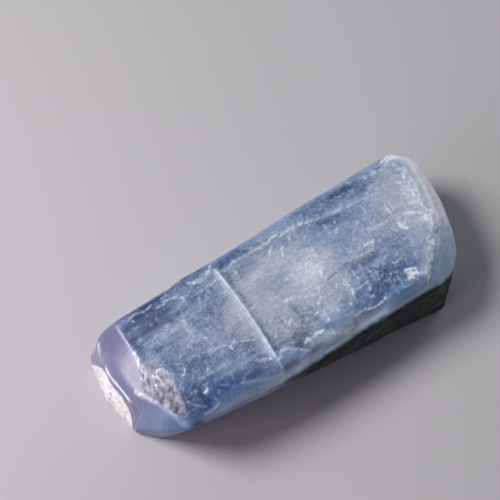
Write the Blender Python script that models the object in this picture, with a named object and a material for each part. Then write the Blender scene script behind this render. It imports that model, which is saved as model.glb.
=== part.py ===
"""A stout kyanite crystal, one flattened prism lying on its widest cleavage face.

Metres, +Z up. The crystal's long c axis lies along X, with the blunt growth
end at -X and the worn, rounded end at +X. The wide cleavage faces are the top
and the foot. The origin is on the resting plane, under the middle of the
crystal's box.

The prism is a block trimmed by its natural faces, one plane each. The thin
plates that have split away along the cleavage, the chips on its edges and the
pits of the growth end are then cut out of it.
"""

import math

import bmesh
import bpy
from mathutils import Matrix, Vector

MM = 0.001

# Driving dimensions. The top is measured each way from the crystal's axis. The
# triclinic cross-section leans, so the foot reaches further back than the top.
LENGTH = 38.0 * MM
TOP_FRONT = 5.9 * MM
TOP_BACK = 6.25 * MM
THICKNESS = 8.0 * MM
LEAN = 13.0

# Width of the worn flat along every edge, and the span under which corners of
# the prism are one corner.
EDGE_WEAR = 0.5 * MM
MERGE = 0.03 * MM

# The top plate still stands up to the split, which runs square to the c axis.
SPLIT_X = -4.15 * MM
SPLIT_TURN = 1.8
SPLIT_DEPTH = 0.4 * MM
SPLIT_SLOPE = 1.0

# Size of a cutter outside the crystal, so that it always reaches past it.
CLEAR = 3.0 * MM

# Pits in the corroded patch on the growth bevel: rows along it, columns down it.
PIT_ROWS = 6
PIT_COLUMNS = 2
PIT_SPACING = 1.2 * MM
PIT_RADIUS = 0.6 * MM
PIT_DEPTH = 0.2 * MM

COLOUR = (0.16, 0.25, 0.42, 1.0)


def clear_scene():
    """Leaves an empty scene."""
    for obj in list(bpy.data.objects):
        bpy.data.objects.remove(obj, do_unlink=True)


def outward(azimuth, rise):
    """Unit normal of a face: azimuth turns from +X to +Y, rise lifts it above
    the horizontal, both in degrees."""
    turn = math.radians(azimuth)
    lift = math.radians(rise)
    return Vector(
        (math.cos(lift) * math.cos(turn), math.cos(lift) * math.sin(turn), math.sin(lift))
    )


def natural_faces():
    """The planes that bound the prism: a point on each in millimetres, and the
    azimuth and rise of its outward normal."""
    end = LENGTH / 2 / MM
    front = TOP_FRONT / MM
    back = TOP_BACK / MM
    top = THICKNESS / MM
    long_faces = [
        ((-4.0, back, top), 90.9, LEAN),
        ((-14.0, back - 0.4, top), 88.5, 50),
        ((0.0, -front, top), -90, 48),
        ((-5.5, -front - 0.5, top), -97, 48),
        ((11.0, -front - 1.5, 0.0), -90, -1),
        ((3.7, -front - 0.03, 0.0), -98, -24),
    ]
    growth_end = [
        ((-end + 4.35, 2.0, top), 177, 35),
        ((-end + 5.65, -1.5, top), 193, 67),
        ((-end + 1.92, 1.5, top / 2), 187, 20),
        ((-end + 0.7, 5.0, 0.0), 168, 20),
        ((-end + 2.1, back + 0.65, top / 2), 140, 14),
        ((-end + 2.7, -3.0, 0.4), -139, -10),
    ]
    worn_end = [
        ((end, 3.0, top - 2), -10, -5),
        ((end - 1.7, 3.0, top), -11, 45),
        ((end - 2.5, -0.3, top), -17, 45),
        ((end - 1.4, -2.5, top - 2), -20, -3),
        ((end - 4.0, -3.3, top), -36, 45),
        ((end - 3.0, -5.6, top / 2), -47, -1),
        ((end - 6.3, -5.7, top), -51, 45),
        ((end - 0.4, 5.6, top - 2), 36, -2),
        ((end - 1.9, 5.0, top), 40, 45),
        ((end - 1.6, 7.1, top - 2), 64, 2),
        ((end - 2.2, 0.0, 0.0), -10, -40),
    ]
    return long_faces + growth_end + worn_end


def trim(mesh, point, normal):
    """Cuts the closed mesh with a plane, drops what lies outside and caps it."""
    cut = bmesh.ops.bisect_plane(
        mesh,
        geom=mesh.verts[:] + mesh.edges[:] + mesh.faces[:],
        dist=1e-7,
        plane_co=point,
        plane_no=normal,
        clear_outer=True,
    )
    rim = [item for item in cut["geom_cut"] if isinstance(item, bmesh.types.BMEdge)]
    if rim:
        bmesh.ops.holes_fill(mesh, edges=rim, sides=0)


def wear_edges(mesh, width):
    """Trims a flat of about the given width along every edge of the prism."""
    mesh.normal_update()
    flats = []
    for edge in mesh.edges:
        first, second = [face.normal for face in edge.link_faces]
        out = (first + second).normalized()
        depth = width / 2 * math.tan(first.angle(second) / 2)
        flats.append((edge.verts[0].co - out * depth, out))
    for point, out in flats:
        trim(mesh, point, out)


def prism():
    """The whole crystal before anything split off, with its edges worn."""
    mesh = bmesh.new()
    block = Matrix.Translation((0, 0, THICKNESS / 2))
    block @= Matrix.Diagonal((LENGTH + CLEAR, LENGTH, THICKNESS, 1))
    bmesh.ops.create_cube(mesh, size=1, matrix=block)
    for point, azimuth, rise in natural_faces():
        trim(mesh, Vector(point) * MM, outward(azimuth, rise))
    bmesh.ops.remove_doubles(mesh, verts=mesh.verts[:], dist=MERGE)
    wear_edges(mesh, EDGE_WEAR)
    bmesh.ops.remove_doubles(mesh, verts=mesh.verts[:], dist=MERGE)
    return mesh


def new_object(name, mesh):
    """Turns a bmesh into an object of the scene."""
    data = bpy.data.meshes.new(name)
    mesh.to_mesh(data)
    mesh.free()
    obj = bpy.data.objects.new(name, data)
    bpy.context.scene.collection.objects.link(obj)
    return obj


def frame_of(azimuth, rise):
    """Axes of a face: X along it on the level, Y up it and Z outward."""
    out = outward(azimuth, rise)
    along = Vector((0, 0, 1)).cross(out).normalized()
    if along.length < 0.5:
        along = Vector((0, 1, 0))
    up = out.cross(along)
    return Matrix((along, up, out)).transposed().to_4x4()


def slab(name, low, high, point, azimuth, rise, roll=0.0):
    """A block that cuts a flat recess: low and high are its corners, in
    millimetres, on the axes of a face whose origin is at point."""
    mesh = bmesh.new()
    low = Vector(low) * MM
    high = Vector(high) * MM
    size = high - low
    place = Matrix.Translation(Vector(point) * MM) @ frame_of(azimuth, rise)
    place @= Matrix.Rotation(math.radians(roll), 4, "Z")
    place @= Matrix.Translation((low + high) / 2)
    place @= Matrix.Diagonal((size.x, size.y, size.z, 1))
    bmesh.ops.create_cube(mesh, size=1, matrix=place)
    return new_object(name, mesh)


def split_plate():
    """The top plate lost from the split to the worn end, thinning toward it, and
    the shoulder that then slopes from it to the back edge."""
    top = THICKNESS / MM
    split = (SPLIT_X / MM, 0.0, top - SPLIT_DEPTH / MM)
    shoulder = (5.5, TOP_BACK / MM - 1.35, top - 0.23)
    return [
        slab("split_plate", (-12, 0, 0), (12, 26, 3), split, 180 - SPLIT_TURN, 90 - SPLIT_SLOPE),
        slab("back_shoulder", (-20, -7, 0), (9.8, 5, 3), shoulder, 86.3, 83.2),
    ]


def front_chips():
    """Chips out of the front edge beside the split, and one short of the middle."""
    edge = -TOP_FRONT / MM
    top = THICKNESS / MM
    return [
        slab("chip_at_split", (0.0, -2.3, -0.55), (1.9, 3.0, 3), (-4.4, edge, top), -84, 44),
        slab("chip_middle", (-1.4, -2.0, -0.5), (1.0, 3.0, 3), (-0.3, edge, top), -97, 42),
        slab("chip_long", (-2.4, -1.4, -0.22), (2.4, 3.0, 3), (5.2, edge, top), -89, 46),
    ]


def top_flakes():
    """Thin flakes lifted off the top: deepest at the back, running out in front."""
    top = THICKNESS / MM
    low = top - SPLIT_DEPTH / MM + 0.09
    return [
        slab("flake_low_plate", (-4.2, 0.0, -0.11), (2.4, 7, 3), (1.2, -1.3, low), 86, 86.9, -9),
        slab("flake_at_split", (-1.8, 0.0, -0.13), (1.5, 7, 3), (-5.9, -2.5, top), 87, 86.5, -14),
    ]


def side_ledges():
    """Steps left along the two long sides where thin plates came off."""
    back = TOP_BACK / MM
    return [
        slab("back_ledge_low", (-9, -4.0, -0.3), (16, 1.1, 3), (0.0, back + 1.3, 2.4), 91.5, 13),
        slab("back_ledge_high", (-20, -0.9, -0.24), (-1.5, 0.8, 3), (0.0, back + 0.7, 5.2), 90.9, 14),
        slab("back_sliver", (-3.0, -0.2, -0.34), (9.0, 4, 3), (0.0, back + 0.1, 7.6), 90.9, 20),
        slab("front_ledge_low", (-1.0, -1.0, -0.32), (13.5, 1.5, 3), (0.0, -6.3, 1.2), -97, -20),
        slab("front_ledge_high", (-14, 0.0, -0.22), (2.5, 1.1, 3), (0.0, -6.75, 3.1), -97, -22),
    ]


def foot_ledges():
    """The hollow where a plate split off the foot, along its back edge."""
    back = TOP_BACK / MM
    return [slab("foot_plate", (-2.6, -5.5, -0.3), (3, 6.5, 3), (-6.0, back + 1.0, 0.0), 0, -89.9)]


def growth_ledges():
    """The broken lower half of the growth end, set back under a thin lip."""
    end = LENGTH / 2 / MM
    front_lip = (-end + 1.92, 1.5, THICKNESS / 2 / MM)
    back_lip = (-end + 1.75, 5.0, 2.85)
    return [
        slab("end_foot", (-3.0, -9.0, -0.2), (3.0, 0.1, 3), front_lip, 187, 18, -6),
        slab("end_foot_back", (-6.0, -9.0, -0.2), (2.4, 0.0, 3), back_lip, 168, 20, 30),
    ]


def growth_pits():
    """Corrosion pits over the gentle front half of the growth bevel."""
    end = LENGTH / 2 / MM
    bevel = Matrix.Translation(Vector((-end + 5.65, -1.5, THICKNESS / MM)) * MM)
    bevel @= frame_of(193, 67)
    pits = []
    for row in range(PIT_ROWS):
        for column in range(PIT_COLUMNS):
            uneven = math.sin(2.3 * row + 4.1 * column)
            along = (-3.0 + row * PIT_SPACING / MM + 0.5 * column + 0.2 * uneven) * MM
            down = (-0.6 - 1.1 * column - 0.25 * uneven) * MM
            radius = PIT_RADIUS * (1 + 0.3 * uneven)
            mesh = bmesh.new()
            place = bevel @ Matrix.Translation((along, down, radius - PIT_DEPTH))
            place @= Matrix.Rotation(1.3 * row + 1.9 * column, 4, "X")
            bmesh.ops.create_icosphere(mesh, subdivisions=2, radius=radius, matrix=place)
            pits.append(new_object("pit_%d_%d" % (row, column), mesh))
    return pits


def cut_away(body, cutters):
    """Subtracts every cutter from the body, one exact Boolean each."""
    for cutter in cutters:
        cutter.hide_render = True
        cutter.display_type = "WIRE"
        loss = body.modifiers.new(cutter.name, "BOOLEAN")
        loss.operation = "DIFFERENCE"
        loss.solver = "EXACT"
        loss.object = cutter


def stone_material():
    """Translucent grey-blue kyanite with a vitreous lustre."""
    material = bpy.data.materials.new("kyanite")
    material.use_nodes = True
    shader = material.node_tree.nodes["Principled BSDF"]
    shader.inputs["Base Color"].default_value = COLOUR
    shader.inputs["Roughness"].default_value = 0.32
    shader.inputs["Metallic"].default_value = 0.0
    return material


def centre_on_origin(objects):
    """Moves everything so that the crystal's box is centred over the origin."""
    bpy.context.view_layer.update()
    body = objects[0].evaluated_get(bpy.context.evaluated_depsgraph_get())
    corners = [Vector(corner) for corner in body.bound_box]
    middle = (corners[0] + corners[6]) / 2
    for obj in objects:
        obj.location = (-middle.x, -middle.y, 0)


def main():
    clear_scene()
    crystal = new_object("kyanite_crystal", prism())
    cutters = split_plate() + top_flakes() + front_chips() + side_ledges()
    cutters += foot_ledges() + growth_ledges() + growth_pits()
    cut_away(crystal, cutters)
    crystal.data.materials.append(stone_material())
    centre_on_origin([crystal] + cutters)


main()
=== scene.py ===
"""A single blade of kyanite: a stout, translucent blue crystal, 38 mm long, lying flat.

Its long axis runs along X. The growth end, with its bevels and the pale crust at its foot, is at -X,
the worn end at +X. The top is a cleavage face at Z = 8 mm with one step across it.
"""

import math

import bmesh
import bpy
import numpy as np
from mathutils import Matrix, Vector, noise


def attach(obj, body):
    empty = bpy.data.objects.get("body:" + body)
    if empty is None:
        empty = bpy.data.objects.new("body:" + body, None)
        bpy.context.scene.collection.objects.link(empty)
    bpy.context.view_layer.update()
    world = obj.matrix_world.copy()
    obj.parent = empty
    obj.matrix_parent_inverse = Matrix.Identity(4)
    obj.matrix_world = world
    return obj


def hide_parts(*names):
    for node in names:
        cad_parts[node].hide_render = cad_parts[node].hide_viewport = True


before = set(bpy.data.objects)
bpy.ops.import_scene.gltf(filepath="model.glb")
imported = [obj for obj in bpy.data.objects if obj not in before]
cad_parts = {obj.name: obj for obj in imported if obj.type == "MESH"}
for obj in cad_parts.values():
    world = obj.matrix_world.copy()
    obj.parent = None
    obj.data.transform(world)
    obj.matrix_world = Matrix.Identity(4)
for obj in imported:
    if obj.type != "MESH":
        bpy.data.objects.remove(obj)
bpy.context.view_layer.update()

# ---------------------------------------------------------------------------------------------
# The blade. One natural crystal, taken from the frame's solid: its skin is evened out, its edges
# are worn round, and the growth lines, steps, pits and chips of the real surface are cut into it.
# Lengths are in mm, measured from the crystal's own axis on the ground below it.
MM = 0.001
AXIS = np.array([-0.452, -0.399, 0.0])  # where the crystal's axis lies from the middle of its box
SKIN = 0.21  # spacing of the skin's points, halved where fine work follows
FINE_ABOVE, FINE_BEFORE = 6.2, -14.2  # the top above this height and the growth end before this x are finer
FAR_SIDE_LIFT, HIGHEST = 0.25, 7.96  # how far the top beyond the split is raised, and where that stops
CHIPS = (-4.75, 3.6), (6.9, 8.9)  # from x to x: the solid's chips in the front edge, filled up to be shallow
CHIP_FILL = (-7.3, 6.72), (-6.15, 7.62), (-4.9, 7.72), (-4.9, 5.2), (-7.3, 5.2)  # y and z, seen along X
BACK_WEAR = (  # the back's top edge: x, and how far it stands out again
    (-10.5, 0.05), (-8.8, 0.05), (-7.2, 0.26), (-5.5, 0.17), (-3, 0.14), (1, 0.15), (4, 0.26), (7.5, 0.34),
    (10, 0.25), (13, 0.25), (15, 0.05),
)
SPLIT_LINE = (  # the cross split: y and x
    (-5.1, -4.59), (-2.26, -4.3), (0.37, -4.16), (2.88, -4.13), (5.47, -4.18),
)


def ramp(value, low, high):
    """0 below low, 1 above high, and a soft rise between them."""
    share = np.clip((value - low) / (high - low), 0, 1)
    return share * share * (3 - 2 * share)


def fall(value, low, high):
    """1 below low, 0 above high, and a soft fall between them."""
    return 1 - ramp(value, low, high)


def follow(value, line):
    """The second number of a broken line of pairs, where its first is this value."""
    return np.interp(value, *zip(*line))


def soften(shell, points, times):
    """Wears these points of the skin down towards their neighbours."""
    for _ in range(times):
        bmesh.ops.smooth_vert(
            shell, verts=points, factor=0.5, use_axis_x=True, use_axis_y=True, use_axis_z=True
        )


def blade_skin():
    """An even skin over the solid, with the worn edges rounded and a finer mesh where it is seen most."""
    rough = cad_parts["kyanite_crystal"].data.copy()
    shell = bmesh.new()
    shell.from_mesh(rough)
    bmesh.ops.remove_doubles(shell, verts=shell.verts, dist=0.001 * MM)
    for ends in CHIPS:
        rings = [
            [shell.verts.new((Vector((x, y, z)) + Vector(AXIS)) * MM) for y, z in CHIP_FILL] for x in ends
        ]
        shell.faces.new(rings[0])
        shell.faces.new(rings[1][::-1])
        for i in range(len(CHIP_FILL)):
            j = (i + 1) % len(CHIP_FILL)
            shell.faces.new((rings[0][j], rings[0][i], rings[1][i], rings[1][j]))
    bmesh.ops.recalc_face_normals(shell, faces=shell.faces)
    shell.to_mesh(rough)
    shell.free()
    blade = bpy.data.objects.new("kyanite_blade", rough)
    bpy.context.scene.collection.objects.link(blade)
    even = blade.modifiers.new("even skin", "REMESH")
    even.mode = "VOXEL"
    even.voxel_size = SKIN * MM
    view = bpy.context.evaluated_depsgraph_get()
    skin = bpy.data.meshes.new_from_object(blade.evaluated_get(view))
    blade.modifiers.clear()
    blade.data = skin
    shell = bmesh.new()
    shell.from_mesh(skin)

    def where(test):
        return [v for v in shell.verts if test(*(Vector(v.co) / MM - Vector(AXIS)))]

    for point in shell.verts:
        x, y, z = Vector(point.co) / MM - Vector(AXIS)
        point.co.y += float(follow(x, BACK_WEAR) * ramp(y, 4.2, 5.6) * ramp(z, 3.5, 6.5)) * MM
        seam = follow(y, SPLIT_LINE)
        if z > 7.3 and x > seam + 0.1 and y < 5.2:  # the far side of the split is nearly as high
            lift = FAR_SIDE_LIFT * float(fall(x, seam, 2.5) * fall(y, 4.5, 5.2))
            point.co.z = max(z, min(z + lift, HIGHEST)) * MM
    for times, worn in (
        (5, lambda x, y, z: z > 7.2 and y > -5.6 and -0.35 < x - follow(y, SPLIT_LINE) < 0.6),  # the split
        (12, lambda x, y, z: x > 12.3 and z > 1),  # the worn end
        (9, lambda x, y, z: x < -13.3 and y < -2.5 and z > 0.5),  # the front corner of the growth end
        (6, lambda x, y, z: -5 < x < 9.5 and -7.7 < y < -4.9 and z > 5.6),  # the chips and the front edge
    ):
        soften(shell, where(worn), times)
    shell.normal_update()

    def seen_close(v):
        on_top = v.co.z > FINE_ABOVE * MM and v.normal.z > 0.1
        return on_top or (v.co.x < FINE_BEFORE * MM and v.co.z > 0.5 * MM)

    fine = [edge for edge in shell.edges if all(seen_close(v) for v in edge.verts)]
    bmesh.ops.subdivide_edges(shell, edges=fine, cuts=1, use_grid_fill=True)
    soften(shell, shell.verts, 2)
    bmesh.ops.triangulate(shell, faces=[face for face in shell.faces if len(face.verts) > 4])
    shell.to_mesh(skin)
    shell.free()
    return blade


blade = blade_skin()
skin = blade.data
count = len(skin.vertices)


def places():
    """Every point of the skin in mm, and the way it faces."""
    at = np.empty(count * 3, np.float32)
    facing = np.empty(count * 3, np.float32)
    skin.vertices.foreach_get("co", at)
    skin.vertex_normals.foreach_get("vector", facing)
    return at.reshape(-1, 3).astype(float) / MM - AXIS, facing.reshape(-1, 3).astype(float)


def cloud(size, start, octaves=3):
    """Cloudy unevenness over the skin, about -1 to 1, its patches of this size along X, Y and Z."""
    where = at / np.asarray(size, float) + start
    return np.array([noise.fractal(Vector(p), 1.0, 2.0, octaves) for p in where.tolist()])


def patches(rows):
    """Soft ovals seen from above, added up: middle, half length, half width, strength and any turn."""
    total = np.zeros(count)
    for middle_x, middle_y, long, wide, strength, *turn in rows:
        way = math.radians(sum(turn))
        c, s = math.cos(way), math.sin(way)
        dx, dy = at[:, 0] - middle_x, at[:, 1] - middle_y
        far = np.hypot((dx * c + dy * s) / long, (dy * c - dx * s) / wide)
        total += strength * fall(far, 0.2, 1.15)
    return total


def scored(rows, axes=(0, 1)):
    """Soft lines over the skin, each with its half width, strength and the points that it runs through."""
    total = np.zeros(count)
    order = np.argsort(at[:, axes[0]])
    along = at[order, axes[0]]
    for width, strength, *points in rows:
        ends = list(zip(points[:-1], points[1:])) or [(points[0], points[0])]
        for a, b in ends:
            a, b = np.array(a, float), np.array(b, float)
            reach = 2.6 * width
            first, last = np.searchsorted(along, (min(a[0], b[0]) - reach, max(a[0], b[0]) + reach))
            near = order[first:last]
            here = at[near][:, axes]
            share = np.clip(((here - a) @ (b - a)) / max((b - a) @ (b - a), 1e-9), 0, 1)
            away = np.linalg.norm(here - a - share[:, None] * (b - a), axis=1)
            total[near] = np.maximum(total[near], strength * np.exp(-((away / width) ** 2)))
    return total


at, facing = places()
x, y, z = at.T  # these follow at when it is moved

# The crust at the foot of the growth end. Then the growth end's back corner and the wall of the worn
# end, which stand out further than in the solid.
CRUST_TOP = (  # y, and the crust's height there
    (-1.1, 0), (-0.9, 0.3), (-0.5, 1), (0, 1.7), (0.5, 2.15), (1.5, 2.55), (3, 2.65), (4.5, 2.4),
    (5.5, 1.85), (6.3, 1), (7, 0.2),
)
CORNER, CORNER_REACH, CORNER_WAY = (-15.6, 6.9, 4.4), (1.5, 1.3, 2.2), (-0.3, 0.9, 0.25)
CORNER_OUT, FAR_WALL_OUT = 0.33, 0.2
crust_top = follow(y, CRUST_TOP)
foot = ramp(-x, 16.2, 16.9) * fall(z - crust_top, -0.1, 0.25) * ramp(y, -1.2, -0.3)
corner = np.exp(-(((at - CORNER) / CORNER_REACH) ** 2).sum(1))
at += CORNER_OUT * corner[:, None] * CORNER_WAY
far_wall = ramp(x, 12.3, 15.0) * fall(facing[:, 2], 0.6, 0.95) * ramp(z, 1.5, 5.0) * ramp(y, -7.5, -3.0)
at += FAR_WALL_OUT * facing * far_wall[:, None]

# The marks on the skin. A line has its half width and strength first, then its points as x and y.
RIM = (  # where the top turns down into the worn end
    (15.63, 6.28), (16.38, 6.38), (16.87, 5.63), (17.1, 5.1), (17.26, 4.5), (17.02, 3.67), (16.83, 2.93),
    (16.75, 1.8), (16.42, 0.82), (16.02, -0.58), (15.82, -1.48), (15.5, -2.2), (15.13, -2.97),
    (14.43, -3.77), (13.64, -4.67), (12.94, -5.36), (12.26, -6.04), (11.74, -6.58),
)
PATCH_INNER = (  # the brown patch's inner edge: y and x
    (-5.3, -13.9), (-4.6, -13.7), (-3.9, -13.6), (-2.4, -13.4), (-0.8, -13.3), (0, -13.6), (1.1, -14.3),
    (1.5, -14.8),
)
PATCH_OUTER = (  # its outer edge: y and x
    (-5.2, -14.1), (-4.7, -14.6), (-4.07, -15), (-2.91, -15.45), (-1.92, -15.75), (-0.99, -16),
    (-0.33, -16), (0.1, -15.7), (0.74, -15.4), (1.5, -14.9),
)
PATCH_FOOT = (  # the bright line along its outer edge: x and y
    (-16.45, 0.1), (-16.2, -0.46), (-15.88, -1.2), (-15.74, -1.86), (-15.5, -2.45), (-15.2, -3.05),
)
CURL_SIZE = 0.9
CURLS = (  # curled ridges in the brown patch
    (0.12, 1, (-14.07, -0.22), (-13.76, -0.33), (-13.47, -0.56), (-13.31, -0.87), (-13.36, -1.22),
     (-13.5, -1.59)),
    (0.13, 1, (-14.54, -0.37), (-14.3, -0.72), (-14.23, -1.16), (-14.26, -1.61), (-14.2, -1.94)),
    (0.11, 0.9, (-14.07, -0.22), (-14.3, -0.55), (-14.51, -0.43), (-14.71, -0.97), (-14.91, -1.69)),
    (0.14, 0.9, (-14.3, 1.25), (-14.82, 0.87), (-15.09, 0.9), (-15.07, 0.37), (-15.04, -0.16)),
    (0.12, 0.8, (-15.53, 0.58), (-15.47, 0.07), (-15.48, -0.22)),
    (0.1, 0.8, (-14.88, -1.16), (-14.92, -1.63)),
    (0.12, 0.8, (-14.73, -2.79), (-14.7, -3.18), (-14.77, -3.45)),
    (0.1, 0.7, (-13.69, -2.19), (-13.6, -2.49), (-13.79, -2.75)),
    (0.1, 0.6, (-13.9, -1.2), (-13.8, -1.8), (-14, -2.3)),
    (0.1, 0.6, (-14.3, -2.2), (-14.1, -2.8), (-14.2, -3.4)),
    (0.1, 0.5, (-14.4, -3.8), (-14.1, -4.3), (-14, -4.9)),
)
DARK_SPOTS = (  # darker spots in the brown patch
    (0.25, 1, (-15.1, -0.6)), (0.25, 1, (-15.3, -2)), (0.3, 1, (-15, -2.6)), (0.25, 1, (-14.4, -3.2)),
    (0.25, 0.9, (-14.3, -4.2)), (0.2, 0.8, (-14, -1.2)),
)
LIP = 0.3, 1.0, (4.2, 3.62), (3.0, 3.65), (1.5, 3.62), (0.6, 3.5)  # over the crust, as y and z
LIP_LINE = (  # y, and the lip's height there
    (-0.6, 2.2), (0.4, 3.3), (1.5, 3.55), (3, 3.55), (4.5, 3.5), (5.4, 3),
)
SPARKS = (  # bright nicks on and near the rim
    (0.12, 0.8, (10.43, -5.6), (10.68, -5.9)), (0.12, 1, (10.5, -5.2), (11.2, -5.5)),
    (0.13, 1, (10.53, -4.82), (11.34, -5.17)), (0.12, 1, (11.34, -5.17), (11.2, -5.81)),
    (0.28, 0.4, (11.53, -5.84), (12.2, -6.5)), (0.15, 0.9, (13.02, -0.43), (13.1, -0.9), (13.31, -1.3)),
    (0.1, 0.8, (13.04, 1.83), (13.05, 0.88)), (0.1, 0.6, (13.61, -4.79), (13.15, -5.36)),
    (0.14, 1, (14.2, 0.07), (14.5, -0.12), (14.81, -0.45)), (0.12, 0.8, (14.46, -3.69), (14.3, -3.97)),
    (0.1, 0.7, (14.46, 5.95), (14.77, 5.74)), (0.1, 0.6, (14.9, -1.3), (15.1, -1.7)),
    (0.11, 0.7, (15.1, -0.4), (15.4, -0.8)), (0.13, 0.9, (15.22, 0.76), (15.84, 0.4)),
    (0.13, 1, (15.3, -1.5), (15.75, -1.9)), (0.1, 0.6, (15.3, 1.9), (15.7, 1.6)),
    (0.1, 0.6, (15.5, 3.4), (15.8, 3)), (0.17, 1, (15.64, -1.21), (15.85, -1.6), (15.6, -2.36)),
    (0.12, 1, (16.01, 6.41), (16.63, 6.54), (17, 6.62)),
    (0.13, 0.9, (16.05, 0.12), (16, -0.3), (16.11, -0.74)), (0.12, 0.6, (16.4, 2.4), (16.1, 1.9)),
    (0.12, 0.9, (16.85, 1.86), (16.62, 1.4), (16.5, 0.88)), (0.12, 0.7, (16.95, 3.1), (16.8, 2.5)),
    (0.12, 0.7, (17, 6.62), (17.17, 6.32), (17.2, 5.9)), (0.1, 0.7, (17.02, -2.4), (16.91, -2.88)),
    (0.13, 0.7, (17.2, 4.3), (17.05, 3.6)),
)
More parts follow.
